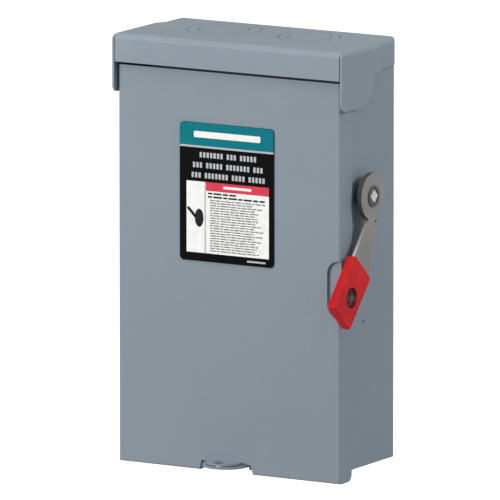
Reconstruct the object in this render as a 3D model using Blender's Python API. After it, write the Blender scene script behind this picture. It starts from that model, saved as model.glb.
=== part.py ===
"""Outdoor AC disconnect box: a steel wall case with a rain hood, a lift-up door and a side handle.

Frame: the origin is the middle of the wall face. +Z is up, +X is the handle side and the door
faces -Y, so the wall is the plane Y = 0. All sizes below are millimetres, and MM turns them
into Blender's metres.
"""
import math

import bpy
import bmesh
from mathutils import Vector

MM = 0.001
NAME = "ac_disconnect_box"

# ---- case -------------------------------------------------------------------------------
SHEET = 1.5                      # 16 gauge steel
CASE_HALF = 83.65                # half the width over the side walls
CASE_FRONT = -75.0
CASE_BOTTOM = -144.5
CASE_TOP = 140.4
BEND = 1.0                       # outside radius of the case's rear edges

# ---- door -------------------------------------------------------------------------------
DOOR_HALF = 86.4
DOOR_FACE = -78.0
DOOR_REAR = -61.8
DOOR_BOTTOM = -151.0
DOOR_TOP = 121.4
DOOR_BEND = 1.5
HINGE_Y = -70.0
HINGE_Z = 111.5
PIN_R = 2.4
LUG_R = 5.5                      # ear of the case round the hinge pin
HEADER_Y = (-55.5, -54.0)        # cross sheet of the case behind the door's top edge
GRIP_RECESS_Z = (-38.0, 1.0)     # shallow D-shaped recess in the door's edge, by the grip
GRIP_RECESS_X = 76.4
GRIP_RECESS_DEPTH = 2.0

# ---- rain hood --------------------------------------------------------------------------
HOOD_SHEET = 1.4
HOOD_HALF = 89.35                # over the ears, at the front
HOOD_REAR_HALF = 85.45           # where the sides step in to meet the case
HOOD_REAR_R = 2.7
HOOD_FRONT = -81.3
HOOD_REAR = -1.0
HOOD_STEP_Y = (-28.0, -21.0)
HOOD_TOP = 143.3
HOOD_LIP_Z = 123.6
HOOD_EAR_Z = 102.5
HOOD_SIDE_Z = 124.2
HOOD_BEND = 4.2
EAR_BACK = ((-55.5, 102.8), (-51.5, 104.0), (-47.2, 106.2), (-43.0, 109.2), (-39.8, 112.5),
            (-38.1, 115.7))      # rear curve of an ear, in Y and Z
LIP_HALF = 87.3                  # the lip in front stops short of the ears' sheet

# ---- padlock hasp under the door ----------------------------------------------------------
HASP_X = -2.2
HASP_HALF = 16.0
HASP_ROOT_HALF = 26.0            # wide part behind the door's face
HASP_HOLE_Y = -86.0
SHACKLE_R = 4.75
NOTCH_HALF = (19.3, 21.2)        # at its top and at the door's bottom edge
NOTCH_TOP = -144.4

# ---- handle and switch axis (parallel to X) -------------------------------------------------
AXIS_Y = -47.1
AXIS_Z = 41.8
PLATE_X = (92.2, 94.2)           # handle plate
GRIP_X = (90.4, 96.8)
HUB_R = 15.9
HUB_RIM = 1.6                    # the hub's rim is turned back towards the case by this
HUB_WALL = 1.4
SHAFT_R = 5.0
BUSHING_NECK_R = 6.9
SQUARE = 6.4
HANDLE_TILT = math.radians(42.0)  # the arm leans forward of straight down by this
GRIP_A = (45.2, 87.6)            # grip, along the arm from the axis
GRIP_N = (-31.4, -3.3)           # grip, across the arm
ARM_N = (-28.4, -6.4)            # plate inside the grip, across the arm
GRIP_HOLE = (69.8, -18.0)
GRIP_HOLE_R = 6.7

# ---- switch mechanism -----------------------------------------------------------------------
BASE_X = (-64.0, 28.0)
BASE_Z = (-86.0, 112.0)
BASE_FACE = -14.0
BASE_SCREWS = ((-58.0, 70.0), (22.0, 70.0), (-58.0, -78.0), (22.0, -78.0))
POLES = (("left", -41.0), ("right", 5.0))
BLADE_REACH = 21.0
BLADE_WIDTH = 9.0
BLADE_T = 2.0
OFF_ANGLE = math.radians(62.0)   # the blades turn this far from off to on
FUSE_R = 7.15
FUSE_Y = -29.0
FUSE_Z = (-52.0, -1.2)
GAP = 0.3                        # between pieces that touch

COLOURS = {                      # base colour, metallic, roughness
    "painted_steel": ((0.27, 0.31, 0.35), 0.0, 0.45),
    "bare_steel": ((0.55, 0.54, 0.52), 1.0, 0.35),
    "zinc": ((0.62, 0.63, 0.62), 1.0, 0.3),
    "grip_red": ((0.62, 0.02, 0.02), 0.0, 0.4),
    "black_plastic": ((0.02, 0.02, 0.022), 0.0, 0.5),
    "copper": ((0.72, 0.36, 0.2), 1.0, 0.3),
    "brass": ((0.72, 0.55, 0.25), 1.0, 0.3),
    "aluminium": ((0.75, 0.76, 0.77), 1.0, 0.35),
    "fuse_tube": ((0.12, 0.2, 0.42), 0.0, 0.5),
    "label": ((0.03, 0.3, 0.34), 0.0, 0.4),
    "fibre": ((0.28, 0.29, 0.27), 0.0, 0.7),
}


# ---- scene helpers --------------------------------------------------------------------------
def clear_scene():
    """Remove every object, and the collections that an earlier run left."""
    for ob in list(bpy.data.objects):
        bpy.data.objects.remove(ob, do_unlink=True)
    for coll in list(bpy.data.collections):
        bpy.data.collections.remove(coll)


def new_collection(name):
    coll = bpy.data.collections.new(name)
    bpy.context.scene.collection.children.link(coll)
    return coll


def new_material(name, kind):
    colour, metallic, roughness = COLOURS[kind]
    mat = bpy.data.materials.new(name)
    mat.use_nodes = True
    shader = mat.node_tree.nodes["Principled BSDF"]
    shader.inputs["Base Color"].default_value = (*colour, 1.0)
    shader.inputs["Metallic"].default_value = metallic
    shader.inputs["Roughness"].default_value = roughness
    mat.diffuse_color = (*colour, 1.0)
    return mat


def new_pivot(name, y, z):
    """An empty on an axis parallel to X: the pieces that turn about it are its children."""
    empty = bpy.data.objects.new(name, None)
    empty.location = (0.0, y * MM, z * MM)
    PARTS.objects.link(empty)
    return empty


def make(name, kind, shape, joins=(), cuts=(), pivot=None):
    """One sub-part: a shape, joined with some others and cut by some others."""
    mesh = bpy.data.meshes.new(name)
    origin = Vector((0.0, 0.0, 0.0))
    if pivot:
        origin = pivot.location.copy()
        bmesh.ops.translate(shape, verts=shape.verts, vec=-origin)
    write_mesh(shape, mesh)
    mesh.materials.append(new_material(name, kind))
    ob = bpy.data.objects.new(name, mesh)
    PARTS.objects.link(ob)
    ob.parent = pivot
    add_booleans(name, joins, cuts)


def add_booleans(name, joins, cuts):
    """More shapes for a sub-part that was already made: joined first, then cut."""
    ob = bpy.data.objects[name]
    for mode, tools in (("UNION", joins), ("DIFFERENCE", cuts)):
        for tool in tools:
            add_boolean(ob, mode, tool, "%s_tool_%d" % (name, len(ob.modifiers) + 1))


def add_boolean(ob, mode, shape, name):
    mesh = bpy.data.meshes.new(name)
    write_mesh(shape, mesh)
    tool = bpy.data.objects.new(name, mesh)
    tool.hide_render = True
    tool.display_type = "WIRE"
    CUTTERS.objects.link(tool)
    mod = ob.modifiers.new(name, "BOOLEAN")
    mod.operation = mode
    mod.solver = "EXACT"
    mod.object = tool


def write_mesh(bm, mesh):
    bmesh.ops.recalc_face_normals(bm, faces=bm.faces)
    bm.to_mesh(mesh)
    bm.free()
    mesh.shade_smooth()
    mesh.set_sharp_from_angle(angle=math.radians(35))


# ---- shape helpers (all take millimetres in the world frame) -----------------------------------
def block(x, y, z):
    bm = bmesh.new()
    bmesh.ops.create_cube(bm, size=1.0)
    size = [(b - a) * MM for a, b in (x, y, z)]
    mid = [(a + b) / 2 * MM for a, b in (x, y, z)]
    bmesh.ops.scale(bm, verts=bm.verts, vec=size)
    bmesh.ops.translate(bm, verts=bm.verts, vec=mid)
    return bm


def round_edges(bm, radius, chosen, segments=3):
    """Round the edges whose middle, in millimetres, satisfies chosen."""
    edges = [e for e in bm.edges if chosen((e.verts[0].co + e.verts[1].co) / 2 / MM)]
    bmesh.ops.bevel(bm, geom=edges, offset=radius * MM, segments=segments,
                    profile=0.5, affect="EDGES")
    return bm


def prism(outline, axis, a, b):
    """A flat outline pushed along an axis from a to b. The outline's two numbers are the other
    two axes in X, Y, Z order."""
    bm = bmesh.new()
    others = [i for i in range(3) if i != axis]
    verts = []
    for p in outline:
        co = [0.0, 0.0, 0.0]
        co[axis] = a * MM
        co[others[0]] = p[0] * MM
        co[others[1]] = p[1] * MM
        verts.append(bm.verts.new(co))
    face = bm.faces.new(verts)
    pushed = bmesh.ops.extrude_face_region(bm, geom=[face])["geom"]
    shift = [0.0, 0.0, 0.0]
    shift[axis] = (b - a) * MM
    moved = [g for g in pushed if isinstance(g, bmesh.types.BMVert)]
    bmesh.ops.translate(bm, verts=moved, vec=shift)
    return bm


def turned(profile, axis, at, segments=32):
    """Turn (radius, place along the axis) points round an axis through the point at."""
    bm = bmesh.new()
    others = [i for i in range(3) if i != axis]
    verts = []
    for radius, along in profile:
        co = [0.0, 0.0, 0.0]
        co[axis] = along * MM
        co[others[0]] = (at[0] + radius) * MM
        co[others[1]] = at[1] * MM
        verts.append(bm.verts.new(co))
    ring = profile[0][0] > 0.0 or profile[-1][0] > 0.0
    pairs = list(zip(verts, verts[1:]))
    if ring:
        pairs.append((verts[-1], verts[0]))
    edges = [bm.edges.new(p) for p in pairs]
    centre = [0.0, 0.0, 0.0]
    centre[others[0]] = at[0] * MM
    centre[others[1]] = at[1] * MM
    direction = [0.0, 0.0, 0.0]
    direction[axis] = 1.0
    bmesh.ops.spin(bm, geom=verts + edges, cent=centre, axis=direction, dvec=(0.0, 0.0, 0.0),
                   angle=math.tau, steps=segments, use_merge=True, use_duplicate=False)
    bmesh.ops.remove_doubles(bm, verts=bm.verts, dist=1e-6)
    return bm


def rod(radius, axis, at, a, b, segments=32):
    return turned([(0.0, a), (radius, a), (radius, b), (0.0, b)], axis, at, segments)


def ring(inner, outer, axis, at, a, b, segments=32):
    return turned([(inner, a), (outer, a), (outer, b), (inner, b)], axis, at, segments)


def arc(centre, radius, start, end, steps):
    """Points of an arc in degrees, both ends included."""
    points = []
    for i in range(steps + 1):
        t = math.radians(start + (end - start) * i / steps)
        points.append((centre[0] + radius * math.cos(t), centre[1] + radius * math.sin(t)))
    return points


def arm_point(a, n):
    """(Y, Z) of a point a along the handle's arm and n across it, in the off position."""
    s, c = math.sin(HANDLE_TILT), math.cos(HANDLE_TILT)
    return (AXIS_Y - a * s - n * c, AXIS_Z - a * c + n * s)


def turn_yz(points, angle, at=(AXIS_Y, AXIS_Z)):
    """Turn (Y, Z) points about the switch axis by the right-hand rule about +X."""
    s, c = math.sin(angle), math.cos(angle)
    out = []
    for y, z in points:
        dy, dz = y - at[0], z - at[1]
        out.append((at[0] + dy * c - dz * s, at[1] + dy * s + dz * c))
    return out


# ---- case -----------------------------------------------------------------------------------
def knockout_groove(radius, axis, at, face, depth=0.6, width=0.9):
    """The sheared ring round a knockout disc, cut into the face at the given place."""
    return ring(radius - width / 2, radius + width / 2, axis, at, face - depth, face + depth, 40)


def enclosure_body():
    outer = block((-CASE_HALF, CASE_HALF), (CASE_FRONT, 0.0), (CASE_BOTTOM, CASE_TOP))
    round_edges(outer, BEND, lambda p: p.y > -1.0)
    inner_half = CASE_HALF - SHEET
    inside = block((-inner_half, inner_half), (CASE_FRONT - 9.0, -SHEET),
                   (CASE_BOTTOM + SHEET, CASE_TOP + 9.0))
    make("enclosure_body", "painted_steel", outer, (), (
        inside, block((-99.0, 99.0), (-77.0, -56.3), (HINGE_Z, CASE_TOP + 2.0)),
        block((80.0, 86.0), (-77.0, DOOR_FACE + GRIP_RECESS_DEPTH + SHEET + 1.0),
              (GRIP_RECESS_Z[0] - 3.0, GRIP_RECESS_Z[1] + 3.0))))
    joins = [rod(LUG_R, 0, (HINGE_Y, HINGE_Z), *sorted((s * inner_half, s * CASE_HALF)))
             for s in (-1, 1)]
    joins.append(block((-inner_half - 0.5, inner_half + 0.5), HEADER_Y, (113.0, CASE_TOP - 0.5)))
    cuts = [rod(PIN_R + GAP, 0, (HINGE_Y, HINGE_Z), -99.0, 99.0, 20),
            rod(BUSHING_NECK_R + GAP, 0, (AXIS_Y, AXIS_Z), 80.0, 86.0),
            rod(1.3, 0, (-41.7, -45.2), CASE_HALF - 1.0, CASE_HALF + 1.0, 16)]
    for x, radius in ((-44.0, 14.0), (2.0, 17.5), (48.0, 14.0)):
        cuts.append(knockout_groove(radius, 2, (x, -36.0), CASE_BOTTOM))
    for x, z, slot in ((0.0, 124.0, 10.0), (-52.0, -122.0, 0.0), (52.0, -122.0, 0.0)):
        cuts.append(rod(4.2, 1, (x, z), -4.0, 2.0, 20))
        if slot:
            cuts.append(block((x - 2.4, x + 2.4), (-4.0, 2.0), (z, z + slot)))
    cuts.append(knockout_groove(17.5, 1, (56.0, -80.0), -SHEET))
    # the lugs are joined before the pin hole is drilled through them
    add_booleans("enclosure_body", joins, cuts)


def hood_outline(inset, rear):
    """Plan of the hood: wide ears in front, stepped in to the case's width behind."""
    half, back_half = HOOD_HALF - inset, HOOD_REAR_HALF - inset
    right = [(half, HOOD_FRONT + inset), (half, HOOD_STEP_Y[0]),
             (back_half, HOOD_STEP_Y[1]), (back_half, rear)]
    return right + [(-x, y) for x, y in reversed(right)]


def hood_rear_corner(side):
    """Cutter that rounds a rear corner of the hood's plan."""
    x, y, r = HOOD_REAR_HALF, HOOD_REAR, HOOD_REAR_R
    outline = arc((x - r, y - r), r, 0.0, 90.0, 4)
    outline += [(x - r, y + 3.0), (x + 3.0, y + 3.0), (x + 3.0, y - r)]
    return prism([(side * px, py) for px, py in outline], 2, HOOD_EAR_Z, HOOD_TOP + 3.0)


def rain_hood():
    low = HOOD_EAR_Z - 12.0
    outer = prism(hood_outline(0.0, HOOD_REAR), 2, low, HOOD_TOP)
    round_edges(outer, HOOD_BEND, lambda p: p.z > HOOD_TOP - 0.1 and p.y < HOOD_REAR - 1.0, 5)
    inner = prism(hood_outline(HOOD_SHEET, 9.0), 2, low - 9.0, HOOD_TOP - HOOD_SHEET)
    round_edges(inner, HOOD_BEND - HOOD_SHEET,
                lambda p: p.z > HOOD_TOP - HOOD_SHEET - 0.1 and p.y < HOOD_REAR - 1.0, 4)
    ear_inside = HOOD_HALF - HOOD_SHEET
    cuts = [inner, block((-ear_inside, ear_inside), (-99.0, -70.0), (low - 5.0, HOOD_LIP_Z))]
    for s in (-1, 1):
        cuts.append(block(sorted((s * LIP_HALF, s * ear_inside)),
                          (HOOD_FRONT - 1.0, HOOD_FRONT + 4.0), (low - 5.0, HOOD_TOP - 2.6)))
        cuts.append(hood_rear_corner(s))
    front, floor = HOOD_FRONT - 3.0, low - 3.0
    corner = (HOOD_FRONT + 5.0, HOOD_EAR_Z + 5.0)
    ear = [(front, floor), (front, corner[1])] + arc(corner, 5.0, 180.0, 270.0, 5)
    ear += list(EAR_BACK) + arc((-32.6, HOOD_SIDE_Z - 4.8), 4.8, 180.0, 90.0, 4)
    ear += [(9.0, HOOD_SIDE_Z), (9.0, floor)]
    cuts.append(prism(ear, 0, -99.0, 99.0))
    for x, y, radii in ((-31.0, -31.0, (17.3, 25.6)), (36.0, -32.0, (14.8, 21.2))):
        for radius in radii:
            cuts.append(knockout_groove(radius, 2, (x, y), HOOD_TOP))
    make("rain_hood", "painted_steel", outer, (), cuts)


# ---- door -----------------------------------------------------------------------------------
def recess_outline(grow, right):
    """D shape of the recess, open at the door's right edge."""
    low, high = GRIP_RECESS_Z[0] - grow, GRIP_RECESS_Z[1] + grow
    left, radius = GRIP_RECESS_X - grow, 8.5 + grow
    points = [(right, low)]
    points += arc((left + radius, low + radius), radius, 270.0, 180.0, 6)
    points += arc((left + radius, high - radius), radius, 180.0, 90.0, 6)
    return points + [(right, high)]


def half_round(x, half, y_back, y_front):
    """Outline of a tongue with a round front end."""
    return [(x + half, y_back)] + [(x - half, y_back)] + arc(
        (x, y_front + half), half, 180.0, 360.0, 14)


def door(pivot):
    outer = block((-DOOR_HALF, DOOR_HALF), (DOOR_FACE, DOOR_REAR), (DOOR_BOTTOM, DOOR_TOP))
    round_edges(outer, DOOR_BEND, lambda p: p.y < DOOR_FACE + 0.1
                and (p.z < DOOR_BOTTOM + 0.1 or abs(p.x) > DOOR_HALF - 0.1))
    inner = block((-DOOR_HALF + SHEET, DOOR_HALF - SHEET), (DOOR_FACE + SHEET, 0.0),
                  (DOOR_BOTTOM + SHEET, DOOR_TOP + 9.0))
    floor = DOOR_FACE + GRIP_RECESS_DEPTH
    tray = prism(recess_outline(SHEET, DOOR_HALF - 0.4), 1, DOOR_FACE + 0.4, floor + SHEET)
    tab = prism(half_round(HASP_X, 12.5, -77.0, -92.5), 2, NOTCH_TOP + 0.1, NOTCH_TOP + 1.6)
    recess = prism(recess_outline(0.0, DOOR_HALF + 4.0), 1, DOOR_FACE - 5.0, floor)
    notch = prism([(HASP_X - NOTCH_HALF[0], NOTCH_TOP), (HASP_X + NOTCH_HALF[0], NOTCH_TOP),
                   (HASP_X + NOTCH_HALF[1], DOOR_BOTTOM - 1.0),
                   (HASP_X - NOTCH_HALF[1], DOOR_BOTTOM - 1.0)], 1, -90.0, -55.0)
    shorten = block((-DOOR_HALF + SHEET + 0.2, DOOR_HALF - SHEET - 0.2), (-66.0, -50.0),
                    (DOOR_BOTTOM - 3.0, DOOR_BOTTOM + SHEET + 0.3))
    make("door", "painted_steel", outer, (), (inner,), pivot)
    holes = [recess, notch, shorten,
             rod(SHACKLE_R, 2, (HASP_X, HASP_HOLE_Y), -147.0, -139.0, 24),
             rod(PIN_R + GAP, 0, (HINGE_Y, HINGE_Z), -99.0, 99.0, 20)]
    for side in (-1, 1):
        corner = [(DOOR_REAR + 2.0, DOOR_BOTTOM - 2.0), (DOOR_REAR + 2.0, DOOR_BOTTOM + 5.0)]
        corner += arc((DOOR_REAR - 5.0, DOOR_BOTTOM + 5.0), 5.0, 0.0, -90.0, 5)
        corner += [(DOOR_REAR - 5.0, DOOR_BOTTOM - 2.0)]
        holes.append(prism(corner, 0, *sorted((side * (DOOR_HALF - SHEET - 0.5), side * 99.0))))
    add_booleans("door", (tray, tab), holes)


def rating_label(pivot):
    plate = block((-37.9, 35.4), (DOOR_FACE - 0.8, DOOR_FACE - GAP), (-7.8, 86.7))
    corners = [e for e in plate.edges if abs(e.verts[0].co.y - e.verts[1].co.y) > 0.0003]
    bmesh.ops.bevel(plate, geom=corners, offset=3.0 * MM, segments=4, profile=0.5, affect="EDGES")
    make("rating_label", "label", plate, pivot=pivot)


def hinge_pins():
    """Shouldered pins through the door's side flanges and the case's lugs."""
    inner = CASE_HALF - SHEET
    for name, side in (("hinge_pin_left", -1), ("hinge_pin_right", 1)):
        profile = [(0.0, inner - 1.8), (4.4, inner - 1.8), (4.4, inner - GAP),
                   (PIN_R, inner - GAP), (PIN_R, DOOR_HALF + GAP), (4.4, DOOR_HALF + GAP),
                   (3.6, DOOR_HALF + 1.2), (0.0, DOOR_HALF + 1.2)]
        profile = [(r, side * x) for r, x in profile]
        make(name, "zinc", turned(profile, 0, (HINGE_Y, HINGE_Z), 20))


def padlock_hasp():
    """Strip under the case, wide behind the door, with a tongue out through the door's notch.

    Beside the tongue the strip's front edge is folded down.
    """
    z = (CASE_BOTTOM - GAP - SHEET, CASE_BOTTOM - GAP)
    root = block((HASP_X - HASP_ROOT_HALF, HASP_X + HASP_ROOT_HALF), (-75.6, -58.0), z)
    tongue = prism(half_round(HASP_X, HASP_HALF, -70.0, -94.2), 2, *z)
    joins = [tongue]
    for side in (-1, 1):
        across = sorted((HASP_X + side * (HASP_HALF + 0.5), HASP_X + side * HASP_ROOT_HALF))
        joins.append(block(across, (-75.6, -74.3), (z[0] - 1.9, z[1])))
    hole = rod(SHACKLE_R, 2, (HASP_X, HASP_HOLE_Y), -150.0, -140.0, 24)
    make("padlock_hasp", "painted_steel", root, joins, (hole,))


# ---- handle ---------------------------------------------------------------------------------
def square_bar(half, a, b):
    """Square prism on the switch axis, its sides in line with the arm."""
    corners = [(AXIS_Y + y, AXIS_Z + z) for y, z in
               ((-half, -half), (half, -half), (half, half), (-half, half))]
    return prism(turn_yz(corners, -HANDLE_TILT), 0, a, b)


def handle_arm(pivot):
    """Steel plate: a hub with its rim turned back, and an arm that runs on into the grip."""
    x0, x1 = PLATE_X
    profile = [(0.0, x0), (HUB_R - HUB_WALL, x0), (HUB_R - HUB_WALL, x0 - HUB_RIM),
               (HUB_R, x0 - HUB_RIM), (HUB_R, x1), (0.0, x1)]
    hub = turned(profile, 0, (AXIS_Y, AXIS_Z), 48)
    low, high = ARM_N
    top, end = GRIP_A[0] - 0.6, GRIP_A[1] - 3.0
    outline = [(0.0, 4.6), (15.0, 4.6), (15.6, -5.3), (top, high), (end, high), (end, low),
               (top, low), (top, low - 2.3), (7.6, -16.6)]
    arm = prism([arm_point(*p) for p in outline], 0, x0, x1)
    cuts = (square_bar(SQUARE / 2 + GAP, 90.0, 97.0),
            rod(GRIP_HOLE_R, 0, arm_point(*GRIP_HOLE), 90.0, 97.0, 28),
            rod(1.3, 0, arm_point(10.7, -14.4), 90.0, 97.0, 12))
    make("handle_arm", "bare_steel", hub, (arm,), cuts, pivot)


def handle_grip(pivot):
    """Red moulded grip round the plate, with the padlock hole through both."""
    a, n = GRIP_A, GRIP_N
    corners = [arm_point(*p) for p in ((a[0], n[1]), (a[0], n[0]), (a[1], n[0]), (a[1], n[1]))]
    body = prism(corners, 0, *GRIP_X)
    edges = [e for e in body.edges if abs(e.verts[0].co.x - e.verts[1].co.x) > 0.003]
    bmesh.ops.bevel(body, geom=edges, offset=2.2 * MM, segments=3, profile=0.5, affect="EDGES")
    rim = [e for e in body.edges if abs(e.verts[0].co.x - e.verts[1].co.x) < 1e-6
           and e.calc_face_angle(0.0) > 1.0]
    bmesh.ops.bevel(body, geom=rim, offset=1.0 * MM, segments=2, profile=0.5, affect="EDGES")
    low, high = ARM_N[0] - GAP, ARM_N[1] + GAP
    slot = [arm_point(*p) for p in ((a[0] - 4.0, high), (a[0] - 4.0, low),
                                    (a[1] - 2.7, low), (a[1] - 2.7, high))]
    make("handle_grip", "grip_red", body, (),
         (prism(slot, 0, PLATE_X[0] - GAP, PLATE_X[1] + GAP),
          rod(GRIP_HOLE_R, 0, arm_point(*GRIP_HOLE), 88.0, 99.0, 28)), pivot)


def handle_shaft(pivot):
    round_part = rod(SHAFT_R, 0, (AXIS_Y, AXIS_Z), 57.0, 91.8, 28)
    square = square_bar(SQUARE / 2, 91.0, 95.3)
    make("handle_shaft", "zinc", round_part, (square,), (), pivot)


def retaining_ring(pivot):
    shape = ring(4.9, 7.2, 0, (AXIS_Y, AXIS_Z), PLATE_X[1] + GAP, PLATE_X[1] + GAP + 0.6, 32)
    make("retaining_ring", "black_plastic", shape, pivot=pivot)


def handle_bushing():
    """Bearing in the side wall, with a thin washer face inside the rim of the handle's hub."""
    wall_in = CASE_HALF - SHEET
    bore, neck = SHAFT_R + GAP, BUSHING_NECK_R
    face, washer = PLATE_X[0] - GAP, HUB_R - HUB_WALL - 0.4
    profile = [(bore, wall_in - 2.0), (10.5, wall_in - 2.0), (10.5, wall_in - GAP),
               (neck, wall_in - GAP), (neck, face - 1.4), (washer, face - 1.0),
               (washer, face), (bore, face)]
    make("handle_bushing", "black_plastic", turned(profile, 0, (AXIS_Y, AXIS_Z), 40))


def drive_lever(pivot):
    """Plate on the shaft's inner end that winds the spring and throws the rotor over."""
    outline = arc((AXIS_Y, AXIS_Z), 9.5, 60.0, 300.0, 12)
    outline += [(AXIS_Y + 20.0, AXIS_Z - 3.5), (AXIS_Y + 20.0, AXIS_Z + 3.5)]
    make("drive_lever", "zinc", prism(outline, 0, 59.0, 61.0), (),
         (rod(SHAFT_R + GAP, 0, (AXIS_Y, AXIS_Z), 50.0, 70.0, 28),), pivot)


def interlock_lever(pivot):
    """Finger on the shaft that swings behind the door's catch when the switch is on."""
    outline = arc((AXIS_Y, AXIS_Z), 9.0, -20.0, 200.0, 12)
    outline += [(AXIS_Y - 5.0, AXIS_Z - 15.0), (AXIS_Y - 1.0, AXIS_Z - 22.0),
                (AXIS_Y + 5.0, AXIS_Z - 20.0)]
    turned_up = turn_yz(outline, math.radians(150.0))
    make("interlock_lever", "zinc", prism(turned_up, 0, 72.0, 74.0), (),
         (rod(SHAFT_R + GAP, 0, (AXIS_Y, AXIS_Z), 66.0, 78.0, 28),), pivot)


def door_catch(pivot):
    """Folded strip inside the door that the interlock finger reaches behind."""
    foot = block((62.0, 70.5), (DOOR_FACE + SHEET + GAP, DOOR_FACE + SHEET + GAP + 1.2),
                 (28.0, 48.0))
    web = block((69.3, 70.5), (DOOR_FACE + SHEET + GAP + 0.6, -66.0), (30.0, 46.0))
    make("door_catch", "zinc", foot, (web,), (), pivot)


# ---- switch mechanism -------------------------------------------------------------------------
def mechanism_bracket():
    """U of steel on the back wall that carries the rotor's end and the handle shaft."""
    back = block((47.0, 79.5), (-3.4, -SHEET - GAP), (22.0, 62.0))
    tower = [(-2.0, 28.0), (-2.0, 56.0)] + arc((AXIS_Y, AXIS_Z), 12.0, 90.0, 270.0, 10)
    inner = prism(tower, 0, 47.0, 48.6)
    outer = prism(tower, 0, 77.9, 79.5)
    cuts = [rod(4.4, 0, (AXIS_Y, AXIS_Z), 44.0, 52.0, 24),
            rod(SHAFT_R + GAP, 0, (AXIS_Y, AXIS_Z), 70.0, 82.0, 28)]
    make("mechanism_bracket", "zinc", back, (inner, outer), cuts)


def toggle_spring():
    """Torsion spring wound round the shaft, its ends reaching to the bracket and the lever."""
    turns, radius, wire, start, pitch = 3.5, 8.6, 0.8, 63.5, 1.9
    steps = int(turns * 14)
    curve = bpy.data.curves.new("toggle_spring", "CURVE")
    curve.dimensions = "3D"
    curve.bevel_depth = wire * MM
    curve.bevel_resolution = 2
    curve.use_fill_caps = True
    spline = curve.splines.new("POLY")
    points = []
    for i in range(steps + 1):
        t = math.tau * turns * i / steps
        points.append((start + pitch * turns * i / steps,
                       AXIS_Y + radius * math.cos(t), AXIS_Z + radius * math.sin(t)))
    points.insert(0, (start, AXIS_Y + radius, AXIS_Z - 16.0))
    points.append((start + pitch * turns, AXIS_Y - radius, AXIS_Z + 14.0))
    spline.points.add(len(points) - 1)
    for point, co in zip(spline.points, points):
        point.co = (co[0] * MM, co[1] * MM, co[2] * MM, 1.0)
    ob = bpy.data.objects.new("toggle_spring", curve)
    PARTS.objects.link(ob)
    curve.materials.append(new_material("toggle_spring", "zinc"))


def switch_base():
    plate = block(BASE_X, (BASE_FACE, -SHEET - GAP), BASE_Z)
    joins = [block((-20.2, -15.8), (-36.0, BASE_FACE + 1.0), (BASE_Z[0] + 6.0, BASE_Z[1]))]
    for x in BASE_X:
        inner = x + math.copysign(2.4, -x - 18.0)
        joins.append(block(sorted((x, inner)), (-36.0, BASE_FACE + 1.0), (78.0, BASE_Z[1])))
    cuts = []
    for x, z in BASE_SCREWS:
        cuts.append(rod(2.6, 1, (x, z), -20.0, 2.0, 16))
    make("switch_base", "black_plastic", plate, joins, cuts)


def screw(name, radius, x, z, head, tip, shank=2.0, pivot=None):
    """Slotted screw along Y: its head's face at head and its shank's end at tip."""
    profile = [(0.0, head), (radius - 0.5, head), (radius, head + 0.5), (radius, head + 2.2),
               (shank, head + 2.2), (shank, tip), (0.0, tip)]
    slot = block((x - 0.5, x + 0.5), (head - 1.0, head + 1.1), (z - radius - 1.0, z + radius + 1.0))
    make(name, "zinc", turned(profile, 1, (x, z), 20), (), (slot,))


def base_screws():
    for i, (x, z) in enumerate(BASE_SCREWS):
        screw("base_screw_%d" % (i + 1), 4.2, x, z, BASE_FACE - GAP - 2.2, -2.2)


def bearing_bracket():
    """Left bearing of the rotor, on the base."""
    tower = [(BASE_FACE - GAP, 30.0), (BASE_FACE - GAP, 54.0)]
    tower += arc((AXIS_Y, AXIS_Z), 10.0, 90.0, 270.0, 10)
    make("bearing_bracket", "black_plastic", prism(tower, 0, -61.5, -56.5), (),
         (rod(4.4, 0, (AXIS_Y, AXIS_Z), -70.0, -50.0, 24),))


def rotor_bar(pivot):
    """Moulded cross bar that carries the blades, with a journal at each end."""
    profile = [(0.0, -60.5), (4.0, -60.5), (4.0, -56.2), (8.0, -56.2), (8.0, 44.0),
               (4.0, 44.0), (4.0, 53.5), (0.0, 53.5)]
    bar = turned(profile, 0, (AXIS_Y, AXIS_Z), 28)
    cuts = [blade_shape(x, BLADE_REACH, GAP) for _, x in POLES]
    make("rotor_bar", "black_plastic", bar, (), cuts, pivot)


def blade_shape(x, reach, grow=0.0):
    half_w, half_t = BLADE_WIDTH / 2 + grow, BLADE_T / 2 + grow
    corners = [(AXIS_Y - half_w, AXIS_Z - reach), (AXIS_Y + half_w, AXIS_Z - reach),
               (AXIS_Y + half_w, AXIS_Z + reach), (AXIS_Y - half_w, AXIS_Z + reach)]
    return prism(turn_yz(corners, OFF_ANGLE), 0, x - half_t, x + half_t)


def blades(pivot):
    for side, x in POLES:
        shape = blade_shape(x, BLADE_REACH)
        ends = [e for e in shape.edges if abs(e.verts[0].co.x - e.verts[1].co.x) > 0.0015]
        bmesh.ops.bevel(shape, geom=ends, offset=2.5 * MM, segments=3, profile=0.5,
                        affect="EDGES")
        make("blade_%s" % side, "copper", shape, pivot=pivot)


def rotor_crank(pivot):
    outline = arc((AXIS_Y, AXIS_Z), 7.5, 60.0, 300.0, 10)
    outline += [(AXIS_Y + 16.0, AXIS_Z - 3.0), (AXIS_Y + 16.0, AXIS_Z + 3.0)]
    make("rotor_crank", "zinc", prism(outline, 0, 50.2, 52.2), (),
         (rod(4.0 + GAP, 0, (AXIS_Y, AXIS_Z), 44.0, 56.0, 24),), pivot)


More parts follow.
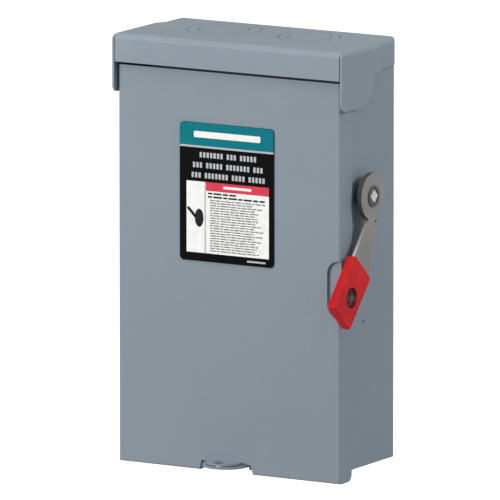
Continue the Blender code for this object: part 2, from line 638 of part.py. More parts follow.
def jaw(name, x, up):
    """Contact clip: two leaves the blade slides between, a neck and a foot on the base."""
    s = 1 if up else -1
    neck = sorted((AXIS_Z + s * 24.0, AXIS_Z + s * 27.0))
    tips = sorted((AXIS_Z + s * 14.5, AXIS_Z + s * 24.5))
    shape = block((x - 4.6, x + 4.6), (-54.0, BASE_FACE - GAP - 1.0), neck)
    foot = block((x - 4.6, x + 4.6), (BASE_FACE - GAP - 2.4, BASE_FACE - GAP),
                 sorted((AXIS_Z + s * 24.0, AXIS_Z + s * (62.0 if up else 42.0))))
    leaves = [block(sorted((x + t * 1.5, x + t * 3.3)), (-54.0, -42.0), tips) for t in (-1, 1)]
    make(name, "copper", shape, [foot] + leaves)


def lug(name, x, z):
    """Aluminium wire lug: a wire hole up through it and a screw hole from the front."""
    y = (-34.0, BASE_FACE - 2 * GAP - 2.4)
    shape = block((x - 7.5, x + 7.5), y, (z - 9.0, z + 9.0))
    round_edges(shape, 1.2, lambda p: p.y < y[0] + 0.1, 2)
    cuts = [rod(4.6, 2, (x, -25.5), z - 12.0, z + 12.0, 24),
            rod(3.3, 1, (x, z), -40.0, -25.0, 20)]
    make(name, "aluminium", shape, (), cuts)


def lug_screw(name, x, z):
    shape = rod(3.0, 1, (x, z), -37.5, -30.6, 20)
    slot = block((x - 0.5, x + 0.5), (-39.0, -36.0), (z - 5.0, z + 5.0))
    make(name, "zinc", shape, (), (slot,))


def fuse_clip(name, x, z, strip):
    """Spring clip open towards the door, on a strip that stands on the base."""
    low, high = z - 4.5, z + 4.5
    clip = ring(FUSE_R + GAP, FUSE_R + GAP + 1.3, 2, (x, FUSE_Y), low, high, 28)
    foot_y = (FUSE_Y + FUSE_R + 0.8, BASE_FACE - 2 * GAP - 2.4)
    foot = block((x - 4.0, x + 4.0), foot_y, (low, high))
    mouth = block((x - 5.6, x + 5.6), (FUSE_Y - 12.0, FUSE_Y - 3.0), (low - 1.0, high + 1.0))
    joins = [foot]
    if strip:
        joins.append(block((x - 4.6, x + 4.6), (foot_y[1] - 1.6, foot_y[1]), strip))
    make(name, "copper", clip, joins, (mouth,))


def fuse(name, x):
    low, high = FUSE_Z
    tube = FUSE_R - 0.35
    profile = [(0.0, low), (FUSE_R, low), (FUSE_R, low + 12.0), (tube, low + 12.0),
               (tube, high - 12.0), (FUSE_R, high - 12.0), (FUSE_R, high), (0.0, high)]
    make(name, "fuse_tube", turned(profile, 2, (x, FUSE_Y), 28))


def load_strip(name, x):
    """Copper strip on the base under the lower clip and the load lug."""
    y = (BASE_FACE - GAP - 2.4, BASE_FACE - GAP)
    make(name, "copper", block((x - 4.6, x + 4.6), y, (-76.0, -42.5)))


def poles():
    for side, x in POLES:
        jaw("line_jaw_%s" % side, x, True)
        jaw("load_jaw_%s" % side, x, False)
        lug("line_lug_%s" % side, x, 95.0)
        lug_screw("line_lug_screw_%s" % side, x, 95.0)
        fuse_clip("upper_fuse_clip_%s" % side, x, -6.5, None)
        fuse_clip("lower_fuse_clip_%s" % side, x, -46.7, None)
        fuse("fuse_%s" % side, x)
        load_strip("load_strip_%s" % side, x)
        lug("load_lug_%s" % side, x, -66.0)
        lug_screw("load_lug_screw_%s" % side, x, -66.0)


def terminal_shield():
    """Fibre guard over the live line terminals."""
    front = block((BASE_X[0] - 2.1, BASE_X[1] + 2.1), (-46.0, -44.8), (79.0, 114.0))
    legs = []
    for x in (BASE_X[0] - 2.1, BASE_X[1] + 0.5):
        legs.append(block((x, x + 1.6), (-45.5, -6.0), (79.0, 104.0)))
    make("terminal_shield", "fibre", front, legs)


def neutral_parts():
    insulator = block((-66.0, -6.0), (-9.0, -SHEET - GAP), (-112.0, -98.0))
    make("neutral_insulator", "black_plastic", insulator)
    bar = block((-64.0, -8.0), (-19.0, -9.0 - GAP), (-109.5, -100.5))
    cuts = []
    for i in range(4):
        x = -56.5 + 13.6 * i
        cuts.append(rod(2.4, 2, (x, -13.5), -120.0, -90.0, 16))
        cuts.append(rod(2.4, 1, (x, -105.0), -22.0, -14.0, 16))
    make("neutral_bar", "aluminium", bar, (), cuts)
    for i in range(4):
        x = -56.5 + 13.6 * i
        terminal_screw("neutral_screw_%d" % (i + 1), x, -105.0, -21.6, -16.2)


def ground_parts():
    bar = block((20.0, 60.0), (-11.0, -SHEET - GAP), (-110.0, -101.0))
    cuts = []
    for i in range(3):
        x = 27.0 + 13.0 * i
        cuts.append(rod(2.4, 2, (x, -6.0), -120.0, -90.0, 16))
        cuts.append(rod(2.4, 1, (x, -105.5), -14.0, -6.5, 16))
    make("ground_bar", "aluminium", bar, (), cuts)
    for i in range(3):
        terminal_screw("ground_screw_%d" % (i + 1), 27.0 + 13.0 * i, -105.5, -13.6, -8.6)


def terminal_screw(name, x, z, head, tip):
    """Small slotted clamp screw standing out of a bar."""
    shape = rod(2.1, 1, (x, z), head, tip, 16)
    slot = block((x - 0.4, x + 0.4), (head - 1.0, head + 0.9), (z - 4.0, z + 4.0))
    make(name, "zinc", shape, (), (slot,))


def main():
    door_pivot = new_pivot("door_axis", HINGE_Y, HINGE_Z)
    handle_pivot = new_pivot("handle_axis", AXIS_Y, AXIS_Z)
    rotor_pivot = new_pivot("rotor_axis", AXIS_Y, AXIS_Z)
    enclosure_body()
    rain_hood()
    padlock_hasp()
    hinge_pins()
    door(door_pivot)
    rating_label(door_pivot)
    door_catch(door_pivot)
    for piece in (handle_arm, handle_grip, handle_shaft, retaining_ring, drive_lever,
                  interlock_lever):
        piece(handle_pivot)
    handle_bushing()
    mechanism_bracket()
    toggle_spring()
    switch_base()
    base_screws()
    bearing_bracket()
    for piece in (rotor_bar, blades, rotor_crank):
        piece(rotor_pivot)
    poles()
    terminal_shield()
    neutral_parts()
    ground_parts()


clear_scene()
PARTS = new_collection(NAME)
CUTTERS = new_collection("cutters")
main()
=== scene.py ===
"""Looks of an outdoor AC disconnect box: painted sheet steel, a red grip and a printed label.

Lengths are metres unless a name ends in _MM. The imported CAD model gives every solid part, and the
pieces made here are the label's printing, which rides on the door.
"""
import math

import bmesh
import bpy
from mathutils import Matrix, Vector


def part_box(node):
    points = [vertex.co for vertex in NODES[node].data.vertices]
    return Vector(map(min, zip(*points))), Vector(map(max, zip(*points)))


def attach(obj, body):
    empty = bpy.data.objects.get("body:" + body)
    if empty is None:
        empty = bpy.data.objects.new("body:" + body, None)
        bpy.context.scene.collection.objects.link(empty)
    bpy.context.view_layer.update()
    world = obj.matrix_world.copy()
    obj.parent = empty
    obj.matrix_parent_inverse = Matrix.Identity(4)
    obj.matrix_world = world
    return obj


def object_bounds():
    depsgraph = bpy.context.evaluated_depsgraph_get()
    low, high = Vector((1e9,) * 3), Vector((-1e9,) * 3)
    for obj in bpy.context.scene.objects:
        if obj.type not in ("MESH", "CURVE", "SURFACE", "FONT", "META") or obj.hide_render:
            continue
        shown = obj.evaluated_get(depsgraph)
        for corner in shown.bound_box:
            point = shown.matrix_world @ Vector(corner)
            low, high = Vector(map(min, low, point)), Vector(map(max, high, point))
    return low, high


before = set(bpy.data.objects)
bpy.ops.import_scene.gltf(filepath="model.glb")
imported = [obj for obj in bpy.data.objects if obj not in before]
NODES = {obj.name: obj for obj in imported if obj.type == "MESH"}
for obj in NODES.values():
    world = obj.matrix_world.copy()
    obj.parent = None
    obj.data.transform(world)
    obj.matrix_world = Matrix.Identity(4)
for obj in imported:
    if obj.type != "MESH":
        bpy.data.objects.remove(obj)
CAD_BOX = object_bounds()
MM = 0.001

# ---- view -------------------------------------------------------------------------------
AZIMUTH = math.radians(30.35)    # the camera stands to the handle side of the door
ELEVATION = math.radians(9.83)
VIEW_WIDTH = 0.3378              # what the picture spans at the object
CAMERA_DISTANCE = 8.0            # a long lens: the picture shows almost no perspective
AIM = Vector((0.0, -0.040, 0.0))
AIM_RIGHT = -0.00493             # the object sits a little right of and above the middle
AIM_UP = -0.00405
SENSOR_WIDTH = 36.0              # in the camera's own millimetres
FLOOR_BELOW = 0.55
FLOOR_HALF = 30.0

# ---- light --------------------------------------------------------------------------------
WORLD_STRENGTH = 0.4
FLOOR_GLOW = 0.85                # lifts the floor to white in the picture
LIGHTS = (                       # name, azimuth, elevation, distance, disk size, watts
    ("front", -35.0, 12.0, 2.2, 1.3, 30.4),
    ("side", 92.0, 28.0, 2.2, 0.9, 20.5),
    ("top", -5.0, 68.0, 2.2, 1.6, 20.8),
)


def direction(azimuth, elevation):
    """Unit vector from the object, azimuth from the door's front towards the handle side."""
    return Vector((math.sin(azimuth) * math.cos(elevation),
                   -math.cos(azimuth) * math.cos(elevation), math.sin(elevation)))


def camera():
    back = direction(AZIMUTH, ELEVATION)
    turn = (-back).to_track_quat("-Z", "Y")
    target = AIM + turn @ Vector((AIM_RIGHT, AIM_UP, 0.0))
    data = bpy.data.cameras.new("camera")
    data.sensor_width = SENSOR_WIDTH
    data.lens = SENSOR_WIDTH * CAMERA_DISTANCE / VIEW_WIDTH
    data.clip_end = 2.0 * FLOOR_HALF
    ob = bpy.data.objects.new("camera", data)
    ob.location = target + back * CAMERA_DISTANCE
    ob.rotation_mode = "QUATERNION"
    ob.rotation_quaternion = turn
    bpy.context.scene.collection.objects.link(ob)
    bpy.context.scene.camera = ob


# ---- node-tree helpers ----------------------------------------------------------------------
class Tree:
    """A material's node tree, with its shader and object-space coordinates ready."""

    def __init__(self, name):
        self.mat = bpy.data.materials.new(name)
        self.mat.use_nodes = True
        self.nodes = self.mat.node_tree.nodes
        self.links = self.mat.node_tree.links
        self.shader = self.nodes["Principled BSDF"]
        self.coord = self.nodes.new("ShaderNodeTexCoord").outputs["Object"]

    def add(self, kind, **values):
        node = self.nodes.new(kind)
        for key, value in values.items():
            setattr(node, key, value)
        return node

    def link(self, source, target):
        self.links.new(source, target)

    def stretched(self, scale):
        """Object coordinates scaled differently along X, Y and Z."""
        node = self.add("ShaderNodeMapping")
        node.inputs["Scale"].default_value = scale
        self.link(self.coord, node.inputs["Vector"])
        return node.outputs["Vector"]

    def noise(self, scale, detail=3.0, rough=0.5, vector=None):
        node = self.add("ShaderNodeTexNoise")
        node.inputs["Scale"].default_value = scale
        node.inputs["Detail"].default_value = detail
        node.inputs["Roughness"].default_value = rough
        self.link(vector or self.coord, node.inputs["Vector"])
        return node.outputs["Fac"]

    def spread(self, value, low, high, source=(0.3, 0.7)):
        """Map a value in source to low..high, clamped."""
        node = self.add("ShaderNodeMapRange")
        node.inputs["From Min"].default_value, node.inputs["From Max"].default_value = source
        node.inputs["To Min"].default_value = low
        node.inputs["To Max"].default_value = high
        self.link(value, node.inputs["Value"])
        return node.outputs["Result"]

    def math(self, operation, a, b=None):
        node = self.add("ShaderNodeMath", operation=operation)
        for socket, value in zip(node.inputs, (a, b)):
            if value is None:
                continue
            if isinstance(value, (int, float)):
                socket.default_value = value
            else:
                self.link(value, socket)
        return node.outputs[0]

    def mix(self, factor, a, b):
        node = self.add("ShaderNodeMix", data_type="RGBA")
        for socket, value in zip((node.inputs[0], node.inputs[6], node.inputs[7]), (factor, a, b)):
            if isinstance(value, (int, float)):
                socket.default_value = value
            elif isinstance(value, tuple):
                socket.default_value = (*value, 1.0)
            else:
                self.link(value, socket)
        return node.outputs[2]

    def bump(self, *layers):
        """Stack (height value, height in metres) layers onto the shader's normal."""
        normal = None
        for value, height in layers:
            node = self.add("ShaderNodeBump")
            node.inputs["Strength"].default_value = 1.0
            node.inputs["Distance"].default_value = height
            self.link(value, node.inputs["Height"])
            if normal:
                self.link(normal, node.inputs["Normal"])
            normal = node.outputs["Normal"]
        self.link(normal, self.shader.inputs["Normal"])

    def set(self, **values):
        for key, value in values.items():
            socket = self.shader.inputs[key.replace("_", " ")]
            if isinstance(value, (int, float)):
                socket.default_value = value
            elif isinstance(value, tuple):
                socket.default_value = (*value, 1.0)
            else:
                self.link(value, socket)

    def off_axis(self, y, z):
        """Distance from an axis parallel to X through (y, z)."""
        shift = self.add("ShaderNodeVectorMath", operation="SUBTRACT")
        self.link(self.coord, shift.inputs[0])
        shift.inputs[1].default_value = (0.0, y, z)
        flat = self.add("ShaderNodeVectorMath", operation="MULTIPLY")
        self.link(shift.outputs["Vector"], flat.inputs[0])
        flat.inputs[1].default_value = (0.0, 1.0, 1.0)
        length = self.add("ShaderNodeVectorMath", operation="LENGTH")
        self.link(flat.outputs["Vector"], length.inputs[0])
        return length.outputs["Value"]

    def normal(self, axis):
        """One component of the surface normal, in the object's own axes."""
        split = self.add("ShaderNodeSeparateXYZ")
        self.link(self.add("ShaderNodeTexCoord").outputs["Normal"], split.inputs[0])
        return split.outputs[axis]

    def edge_faces(self):
        """1 on the faces across the handle's thickness, which runs along X, and 0 on its flats."""
        return self.spread(self.math("ABSOLUTE", self.normal("X")), 1.0, 0.0, (0.4, 0.8))

    def edge_mask(self, radius):
        """1 on convex edges, 0 on flats: how far the rounded normal leans from the true one."""
        bevel = self.add("ShaderNodeBevel", samples=6)
        bevel.inputs["Radius"].default_value = radius
        flat = self.add("ShaderNodeNewGeometry")
        dot = self.add("ShaderNodeVectorMath", operation="DOT_PRODUCT")
        self.link(bevel.outputs["Normal"], dot.inputs[0])
        self.link(flat.outputs["Normal"], dot.inputs[1])
        return self.spread(dot.outputs["Value"], 1.0, 0.0, (0.80, 0.995))


def scaled(colour, k):
    return tuple(min(1.0, c * k) for c in colour)


# ---- materials ------------------------------------------------------------------------------
PAINT = (0.221, 0.267, 0.308)
GRIP_HOLE = (-0.08043, -0.02212)  # Y and Z of the padlock hole through the grip
GRIP_HOLE_R = 0.0067
HUB_AXIS = (-0.0471, 0.0418)      # Y and Z of the handle's pivot
HUB_R = 0.0159
FUSE_CAP = 0.0119                 # length of a fuse's end cap
FUSE_BAND_HALF = 0.0085           # half the width of its printed band


def painted_steel(name, colour=PAINT):
    """Light grey powder coat: faint orange peel, slight mottling, and edges a little paler, partly
    rubbed paint and partly painted highlight.
    """
    t = Tree(name)
    mottle = t.spread(t.noise(9.0, 4.0), 0.0, 1.0)
    body = t.mix(mottle, scaled(colour, 0.965), scaled(colour, 1.035))
    speck = t.spread(t.noise(520.0, 2.0), 0.0, 1.0, (0.62, 0.8))
    body = t.mix(t.math("MULTIPLY", speck, 0.25), body, scaled(colour, 0.72))
    # Paler convex edges: partly rubbed paint, partly a painted highlight.
    rubbed_and_highlight = t.math("MULTIPLY", t.edge_mask(0.0011), t.spread(t.noise(60.0), 0.25, 0.8))
    body = t.mix(t.math("MULTIPLY", rubbed_and_highlight, 0.22), body, scaled(colour, 1.5))
    t.set(Base_Color=body, Roughness=t.spread(t.noise(38.0, 3.0), 0.40, 0.52))
    t.set(Specular_IOR_Level=0.3)
    t.bump((t.noise(620.0, 2.0), 0.00004), (t.noise(14.0, 2.0), 0.00025))
    return t.mat


def hole_painted_shade(t, body, dark):
    """Darken the padlock hole's wall: painted shade inside the hole."""
    near = t.spread(t.off_axis(*GRIP_HOLE), 1.0, 0.0, (GRIP_HOLE_R + 0.0002, GRIP_HOLE_R + 0.0007))
    return t.mix(near, body, dark)


def lever_edges(t, body, dark, bright):
    """Darken the hub's turned rim as painted shade, and lighten the lever's sheared edges, partly
    bare cut steel and partly a painted highlight.

    The rim is the ring of edge faces that lies about HUB_R from the pivot.
    """
    edges = t.edge_faces()
    radius = t.off_axis(*HUB_AXIS)
    outer = t.spread(radius, 0.0, 1.0, (HUB_R - 0.0008, HUB_R - 0.0004))
    inner = t.spread(radius, 1.0, 0.0, (HUB_R + 0.0003, HUB_R + 0.0012))
    # Painted shade on the hub's rim; painted highlight, partly bare cut steel, on the lever's
    # edges.
    rim = t.math("MULTIPLY", edges, t.math("MULTIPLY", outer, inner))
    lever = t.math("MULTIPLY", edges, t.math("SUBTRACT", 1.0, inner))
    return t.mix(rim, t.mix(lever, body, bright), dark)


def zinc_plate(name, colour=(0.56, 0.55, 0.53), rough=(0.28, 0.42), metallic=1.0, painted_shade_and_highlight=False):
    """Plated steel: fine rolling grain and cloudy reflections, with the handle's painted shade and
    highlights if asked.
    """
    t = Tree(name)
    lines = t.noise(1.0, 3.0, 0.6, t.stretched((40.0, 900.0, 900.0)))
    cloud = t.noise(45.0, 4.0)
    body = t.mix(t.spread(cloud, 0.0, 1.0), scaled(colour, 0.86), scaled(colour, 1.1))
    body = t.mix(t.math("MULTIPLY", t.edge_mask(0.0005), 0.5), body, scaled(colour, 1.35))
    # Painted shade on the hub's rim and in the padlock hole; a painted highlight, partly bare cut
    # steel, on the lever's sheared edges.
    if painted_shade_and_highlight:
        body = lever_edges(t, body, (0.080, 0.081, 0.083), (0.38, 0.38, 0.39))
        body = hole_painted_shade(t, body, (0.055, 0.050, 0.045))
    t.set(Base_Color=body, Metallic=metallic)
    t.set(Roughness=t.math("ADD", t.spread(cloud, rough[0], rough[1]),
                           t.spread(lines, -0.05, 0.05)))
    t.bump((lines, 0.000012))
    return t.mat


def black_moulding(name, colour=(0.018, 0.018, 0.020)):
    """Glass-filled thermoset: fine pitted surface and slightly grey edges."""
    t = Tree(name)
    speck = t.spread(t.noise(900.0, 2.0), 0.0, 1.0, (0.5, 0.75))
    body = t.mix(t.math("MULTIPLY", speck, 0.5), colour, scaled(colour, 2.2))
    body = t.mix(t.math("MULTIPLY", t.edge_mask(0.0006), 0.5), body, scaled(colour, 4.0))
    t.set(Base_Color=body, Roughness=t.spread(t.noise(70.0), 0.42, 0.6), Specular_IOR_Level=0.3)
    t.bump((t.noise(700.0, 2.0), 0.00003))
    return t.mat


def grip_vinyl(name):
    """Dipped red vinyl over the lever: satin, with shallow ripples, a deeper red on its forward and
    upward edge faces as painted shade, and painted shade in the padlock hole.
    """
    colour = (0.58, 0.017, 0.021)
    t = Tree(name)
    body = t.mix(t.spread(t.noise(55.0, 4.0), 0.0, 1.0), scaled(colour, 0.88), scaled(colour, 1.12))
    body = t.mix(t.math("MULTIPLY", t.edge_mask(0.0009), 0.35), body, (0.62, 0.02, 0.02))
    # Painted shade: the edge faces that look forward and up are darkened to a deeper red.
    front = t.math("MULTIPLY", t.edge_faces(), t.spread(t.normal("Z"), 0.0, 0.8, (-0.2, 0.2)))
    body = t.mix(front, body, (0.40, 0.004, 0.005))
    body = hole_painted_shade(t, body, (0.10, 0.008, 0.009))
    t.set(Base_Color=body, Roughness=t.spread(t.noise(90.0), 0.34, 0.5))
    t.set(Specular_IOR_Level=0.12)
    t.bump((t.noise(480.0, 2.0), 0.00004), (t.noise(70.0), 0.00012))
    return t.mat


def copper_alloy(name, colour=(0.74, 0.42, 0.25)):
    """Bright contact metal with a brown tarnish in patches."""
    t = Tree(name)
    patch = t.spread(t.noise(80.0, 4.0), 0.0, 1.0, (0.42, 0.72))
    t.set(Base_Color=t.mix(patch, colour, (0.42, 0.22, 0.13)), Metallic=1.0)
    t.set(Roughness=t.spread(t.noise(150.0), 0.22, 0.4))
    t.bump((t.noise(1.0, 2.0, 0.5, t.stretched((900.0, 900.0, 60.0))), 0.00001))
    return t.mat


def cast_aluminium(name):
    """Tin-plated extrusion: drawn lines along its length and a soft haze."""
    colour = (0.70, 0.71, 0.72)
    t = Tree(name)
    lines = t.noise(1.0, 3.0, 0.6, t.stretched((900.0, 900.0, 25.0)))
    t.set(Base_Color=t.mix(t.spread(lines, 0.0, 1.0), scaled(colour, 0.9), colour), Metallic=1.0)
    t.set(Roughness=t.spread(t.noise(60.0), 0.3, 0.46))
    t.bump((lines, 0.000015))
    return t.mat


def fibre_sheet(name):
    """Vulcanised fibre: grey, with long pressed fibres."""
    t = Tree(name)
    fibres = t.noise(1.0, 5.0, 0.7, t.stretched((60.0, 60.0, 900.0)))
    t.set(Base_Color=t.mix(t.spread(fibres, 0.0, 1.0), (0.13, 0.135, 0.12), (0.2, 0.2, 0.18)))
    t.set(Roughness=0.72)
    t.bump((fibres, 0.00004))
    return t.mat


def cartridge(name):
    """A fuse: plated end caps, and between them a paper tube with one plain coloured band."""
    low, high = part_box(name)
    t = Tree(name + "_finish")
    split = t.add("ShaderNodeSeparateXYZ")
    t.link(t.coord, split.inputs[0])
    middle, half = (low.z + high.z) / 2, (high.z - low.z) / 2
    off = t.math("ABSOLUTE", t.math("SUBTRACT", split.outputs["Z"], middle))
    cap = t.math("GREATER_THAN", off, half - FUSE_CAP)
    band = t.math("LESS_THAN", off, FUSE_BAND_HALF)
    paper = t.noise(1.0, 4.0, 0.6, t.stretched((700.0, 700.0, 90.0)))
    tube = t.mix(t.spread(paper, 0.0, 1.0), (0.055, 0.10, 0.24), (0.075, 0.13, 0.30))
    tube = t.mix(t.math("MULTIPLY", band, 0.9), tube, (0.55, 0.54, 0.50))
    t.set(Base_Color=t.mix(cap, tube, (0.66, 0.62, 0.55)), Metallic=cap)
    t.set(Roughness=t.spread(t.noise(120.0), 0.3, 0.5))
    t.bump((paper, 0.00002))
    return t.mat


def print_ink(name, colour, rough=0.45):
    """Ink on a vinyl label: nearly even, with the sheet's faint ripple and ink density."""
    t = Tree(name)
    density = t.spread(t.noise(240.0, 3.0), 0.0, 1.0)
    t.set(Base_Color=t.mix(density, scaled(colour, 0.93), scaled(colour, 1.05)))
    t.set(Roughness=t.spread(t.noise(90.0), rough - 0.05, rough + 0.07), Specular_IOR_Level=0.04)
    t.bump((t.noise(45.0, 2.0), 0.00003))
    return t.mat


# ---- CAD nodes --------------------------------------------------------------------------------
WELD_DISTANCE = 0.000002
FLAT_ANGLE = math.radians(0.5)   # faces within this of each other are one flat
EDGE_ANGLE = math.radians(38.0)  # folds sharper than this are rounded off


def finish_node(name, material, bevel=0.0003, segments=2):
    """Give a CAD node its material, and soften its edges without moving its mesh."""
    ob = NODES[name]
    mesh = ob.data
    for extra in ("custom_normal", "sharp_edge", "sharp_face"):
        if extra in mesh.attributes:
            mesh.attributes.remove(mesh.attributes[extra])
    mesh.shade_smooth()
    mesh.materials.clear()
    mesh.materials.append(material)
    weld = ob.modifiers.new("weld", "WELD")
    weld.merge_threshold = WELD_DISTANCE
    planes = ob.modifiers.new("planes", "DECIMATE")
    planes.decimate_type = "DISSOLVE"
    planes.angle_limit = FLAT_ANGLE
    if bevel:
        round_off = ob.modifiers.new("edges", "BEVEL")
        round_off.width = bevel
        round_off.segments = segments
        round_off.limit_method = "ANGLE"
        round_off.angle_limit = EDGE_ANGLE
        round_off.miter_outer = "MITER_ARC"
        round_off.use_clamp_overlap = True
    shade = ob.modifiers.new("shade", "WEIGHTED_NORMAL")
    shade.keep_sharp = True
    shade.weight = 60


def group(*words):
    """CAD nodes whose names start with one of the words."""
    return [n for n in NODES if any(n.startswith(w) for w in words)]


def dress_nodes():
    paint = painted_steel("paint")
    zinc = zinc_plate("zinc")
    black = black_moulding("black_moulding")
    copper = copper_alloy("contact_copper")
    alloy = cast_aluminium("tinned_aluminium")
    for name in ("enclosure_body", "door", "padlock_hasp"):
        finish_node(name, paint, 0.00035, 3)
    # The hood gets a lighter copy of the case paint: painted light for the brighter light its lip
    # and top catch.
    finish_node("rain_hood", painted_steel("hood_paint", scaled(PAINT, 1.06)), 0.00035, 3)
    # The lever's steel carries painted shade on the hub's rim and hole wall and a painted highlight
    # on its cut edges.
    lever = zinc_plate("handle_steel", (0.28, 0.278, 0.276), (0.5, 0.66), 0.15, painted_shade_and_highlight=True)
    finish_node("handle_arm", lever, 0.0003)
    finish_node("handle_grip", grip_vinyl("red_vinyl"), 0.0006, 3)
    finish_node("handle_bushing", black_moulding("bushing_black", (0.07, 0.07, 0.073)), 0.0004)
    oxide = zinc_plate("ring_oxide", (0.10, 0.10, 0.10), (0.45, 0.6), 0.2)
    finish_node("retaining_ring", oxide, 0.0002)
    bright = zinc_plate("shaft_end", (0.72, 0.72, 0.70), (0.4, 0.55), 0.2)
    finish_node("handle_shaft", bright, 0.0002)
    finish_node("rating_label", print_ink("label_black", (0.0025, 0.0025, 0.003)), 0.0001)
    finish_node("terminal_shield", fibre_sheet("fibre"), 0.0003)
    for name in ("switch_base", "bearing_bracket", "rotor_bar", "neutral_insulator"):
        finish_node(name, black, 0.0004)
    for name in ("fuse_left", "fuse_right"):
        finish_node(name, cartridge(name), 0.0003)
    for name in group("line_jaw", "load_jaw", "load_strip", "upper_fuse", "lower_fuse", "blade"):
        finish_node(name, copper, 0.0002)
    for name in ("line_lug_left", "line_lug_right", "load_lug_left", "load_lug_right",
                 "neutral_bar", "ground_bar"):
        finish_node(name, alloy, 0.0003)
    for name in NODES:
        if not NODES[name].modifiers:
            finish_node(name, zinc, 0.0002)


# ---- tiles of ink ---------------------------------------------------------------------------
def new_piece(name, bm, material, body):
    mesh = bpy.data.meshes.new(name)
    bmesh.ops.recalc_face_normals(bm, faces=bm.faces)
    bm.to_mesh(mesh)
    bm.free()
    mesh.materials.append(material)
    ob = bpy.data.objects.new(name, mesh)
    bpy.context.scene.collection.objects.link(ob)
    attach(ob, body)


def add_tile(bm, points, y, thick):
    """A thin tile of ink: an outline in X and Z, its front face at y - thick."""
    front = [bm.verts.new((x, y - thick, z)) for x, z in points]
    face = bm.faces.new(front)
    made = bmesh.ops.extrude_face_region(bm, geom=[face])["geom"]
    verts = [g for g in made if isinstance(g, bmesh.types.BMVert)]
    bmesh.ops.translate(bm, verts=verts, vec=(0.0, thick, 0.0))


def rounded_rect(x0, x1, z0, z1, low_r, high_r, steps=4):
    """Outline of a rectangle, its two lower and its two upper corners rounded by their radii."""
    points = []
    for x, z, r, start in ((x1, z0, low_r, -90.0), (x1, z1, high_r, 0.0),
                           (x0, z1, high_r, 90.0), (x0, z0, low_r, 180.0)):
        if r <= 0.0:
            points.append((x, z))
            continue
        cx = x - math.copysign(r, x - x0 - 1e-9)
        cz = z - math.copysign(r, z - z0 - 1e-9)
        for i in range(steps + 1):
            a = math.radians(start + 90.0 * i / steps)
            points.append((cx + r * math.cos(a), cz + r * math.sin(a)))
    return points


# ---- label printing ---------------------------------------------------------------------------
LABEL_LOW, LABEL_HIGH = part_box("rating_label")
INK = 0.00006                    # one layer of ink
MARGIN_MM = 0.15
CORNER_MM = 2.7
HEADER_MM = 15.7                 # height of the coloured band at the label's top
RULE_MM = 1.3

# The rest is placed in millimetres from the label's lower left corner.
INSET_MM = (5.4, 69.6, 5.8, 54.4)        # left, right, bottom and top of the white panel
COLUMN_MM = (19.5, 20.6)                 # left and right of the rule beside its text
RED_BAND_MM = 48.5                       # bottom of the panel's red band
RED_BAR_MM = (34.0, 56.0, 50.7, 52.5)
FOOT_BAR_MM = (52.5, 67.0, 2.3, 3.5)
TITLE_ROWS_MM = ((15.7, 61.7, 70.9, 4), (10.4, 67.0, 63.8, 2), (9.4, 68.0, 56.9, 6))
BOLD_ROWS_MM = ((22.2, 46.0, 46.2, 4), (22.2, 66.5, 43.9, 5))
SMALL_ROWS = 21
SMALL_TOP_MM = 41.8
SMALL_STEP_MM = 1.72
OVAL_MM = (15.3, 29.6, 3.4, 6.2)         # centre X, centre Z, half width, half height
OVAL_SIDES = 28
BAR_MM = (6.3, 36.4, 12.4, 30.2)         # the leaning bar's two ends
BAR_HALF_MM = 0.75


def label_layer(name, shapes, layer, material):
    """Tiles of ink on the label: each is (left, right, bottom, top, corner radius)."""
    bm = bmesh.new()
    y = LABEL_LOW.y - layer * INK
    for x0, x1, z0, z1, radius in shapes:
        low_r, high_r = radius if isinstance(radius, tuple) else (radius, radius)
        outline = rounded_rect(LABEL_LOW.x + x0 * MM, LABEL_LOW.x + x1 * MM,
                               LABEL_LOW.z + z0 * MM, LABEL_LOW.z + z1 * MM,
                               low_r * MM, high_r * MM)
        add_tile(bm, outline, y, INK)
    new_piece(name, bm, material, "door")


def varied(low, high, phase):
    """A length from low to high that looks irregular and is the same each run."""
    return low + (high - low) * (0.5 + 0.5 * math.sin(phase))


def letter_blocks(rows, height, width, gap, word_gap, words):
    """Rows of plain blocks in word-like groups: each row is (left, right, bottom, seed)."""
    tiles = []
    for left, right, bottom, seed in rows:
        x, i = left, 0
        while x < right:
            for _ in range(int(varied(*words, 5.1 * seed + 2.3 * i))):
                if x + width > right:
                    break
                tiles.append((x, x + width, bottom, bottom + height, 0.35))
                x += width + gap
            x, i = x + word_gap, i + 1
    return tiles


def text_bars(rows, height, words):
    """Plain bars standing for lines of print: each row is (left, right, bottom, seed)."""
    tiles = []
    for left, right, bottom, seed in rows:
        x, i = left, 0
        while x < right - words[0] * 0.5:
            end = min(x + varied(*words, 7.3 * seed + 2.9 * i), right)
            tiles.append((x, end, bottom, bottom + height, height * 0.28))
            x, i = end + height * 0.75, i + 1
    return tiles


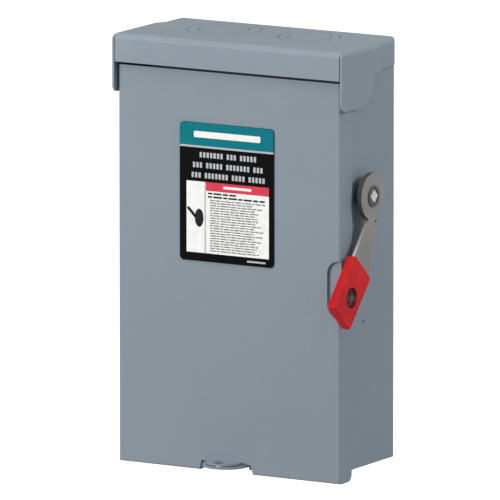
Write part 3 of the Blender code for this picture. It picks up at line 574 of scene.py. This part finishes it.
def label():
    width = (LABEL_HIGH.x - LABEL_LOW.x) / MM
    height = (LABEL_HIGH.z - LABEL_LOW.z) / MM
    head = height - HEADER_MM
    near, far = MARGIN_MM, width - MARGIN_MM
    left, right, bottom, top = INSET_MM
    rule_left, rule_right = COLUMN_MM
    light = print_ink("label_light", (0.50, 0.51, 0.52))
    pale = print_ink("label_white", (0.90, 0.90, 0.88))
    teal = print_ink("label_teal", (0.004, 0.182, 0.222))
    red = print_ink("label_red", (0.71, 0.055, 0.085))
    grey = print_ink("label_grey", (0.22, 0.22, 0.22))
    rule_grey = print_ink("label_rule", (0.50, 0.51, 0.53))
    dark = print_ink("label_dark", (0.02, 0.02, 0.02))
    header = (near, far, head, height - MARGIN_MM, (0.0, CORNER_MM))
    label_layer("label_header", [header], 0, teal)
    label_layer("label_rule", [(near, far, head - RULE_MM, head, 0.0)], 0, rule_grey)
    label_layer("label_header_bar", [(11.2, 63.0, head + 5.6, head + 9.9, 0.8)], 1, pale)
    titles = letter_blocks(TITLE_ROWS_MM, 3.7, 1.75, 0.95, 2.2, (3, 8))
    label_layer("label_title_bars", titles, 0, light)
    label_layer("label_inset", [(left, right, bottom, top, 0.0)], 0, pale)
    label_layer("label_divider", [(rule_left, rule_right, bottom, top, 0.0)], 1, rule_grey)
    label_layer("label_red_band", [(rule_right, right, RED_BAND_MM, top, 0.0)], 1, red)
    label_layer("label_red_band_bar", [(*RED_BAR_MM, 0.5)], 2, pale)
    label_layer("label_bold_lines", text_bars(BOLD_ROWS_MM, 1.2, (3.0, 7.0)), 1, dark)
    rows = [(23.8, 66.8 - 9.0 * abs(math.sin(1.7 * i)), SMALL_TOP_MM - SMALL_STEP_MM * i, 6 + i)
            for i in range(SMALL_ROWS)]
    label_layer("label_small_lines", text_bars(rows, 0.8, (1.6, 5.2)), 1, grey)
    label_layer("label_foot_bar", [(*FOOT_BAR_MM, 0.4)], 0, light)
    label_symbol(dark)


def label_symbol(material):
    """Generic symbol: an oval with a plain bar leaning on it."""
    bm = bmesh.new()
    y = LABEL_LOW.y - INK
    cx, cz = LABEL_LOW.x + OVAL_MM[0] * MM, LABEL_LOW.z + OVAL_MM[1] * MM
    half_x, half_z = OVAL_MM[2] * MM, OVAL_MM[3] * MM
    turns = [math.tau * i / OVAL_SIDES for i in range(OVAL_SIDES)]
    add_tile(bm, [(cx + half_x * math.cos(a), cz + half_z * math.sin(a)) for a in turns], y, INK)
    ax, az = LABEL_LOW.x + BAR_MM[0] * MM, LABEL_LOW.z + BAR_MM[1] * MM
    bx, bz = LABEL_LOW.x + BAR_MM[2] * MM, LABEL_LOW.z + BAR_MM[3] * MM
    w = BAR_HALF_MM * MM
    add_tile(bm, [(ax - w, az - w), (bx - w, bz - w), (bx + w, bz + w), (ax + w, az + w)], y, INK)
    new_piece("label_symbol", bm, material, "door")


# ---- stage ------------------------------------------------------------------------------------
def floor():
    bm = bmesh.new()
    bmesh.ops.create_grid(bm, x_segments=1, y_segments=1, size=FLOOR_HALF)
    mesh = bpy.data.meshes.new("floor")
    bm.to_mesh(mesh)
    bm.free()
    ob = bpy.data.objects.new("floor", mesh)
    ob.location.z = CAD_BOX[0].z - FLOOR_BELOW
    t = Tree("floor")
    t.set(Base_Color=(0.93, 0.93, 0.93), Roughness=0.9, Specular_IOR_Level=0.1)
    t.set(Emission_Color=(1.0, 1.0, 1.0), Emission_Strength=FLOOR_GLOW)
    clear = t.add("ShaderNodeBsdfTransparent")   # so that it hides nothing from below
    either = t.add("ShaderNodeMixShader")
    t.link(t.add("ShaderNodeNewGeometry").outputs["Backfacing"], either.inputs[0])
    t.link(t.shader.outputs["BSDF"], either.inputs[1])
    t.link(clear.outputs["BSDF"], either.inputs[2])
    t.link(either.outputs["Shader"], t.nodes["Material Output"].inputs["Surface"])
    mesh.materials.append(t.mat)
    bpy.context.scene.collection.objects.link(ob)
    ob.visible_diffuse = False   # its glow whitens the picture, not the object
    ob.visible_glossy = False


def area_light(name, azimuth, elevation, distance, size, watts):
    back = direction(math.radians(azimuth), math.radians(elevation))
    data = bpy.data.lights.new(name, "AREA")
    data.shape = "DISK"
    data.size = size
    data.energy = watts
    ob = bpy.data.objects.new(name, data)
    ob.location = AIM + back * distance
    ob.rotation_mode = "QUATERNION"
    ob.rotation_quaternion = (-back).to_track_quat("-Z", "Y")
    bpy.context.scene.collection.objects.link(ob)


def lighting():
    world = bpy.data.worlds.new("studio")
    world.use_nodes = True
    sky = world.node_tree.nodes["Background"]
    sky.inputs["Color"].default_value = (0.98, 0.99, 1.0, 1.0)
    sky.inputs["Strength"].default_value = WORLD_STRENGTH
    bpy.context.scene.world = world
    for name, azimuth, elevation, distance, size, watts in LIGHTS:
        area_light(name, azimuth, elevation, distance, size, watts)
    bpy.context.scene.view_settings.view_transform = "Standard"


camera()
dress_nodes()
label()
floor()
lighting()
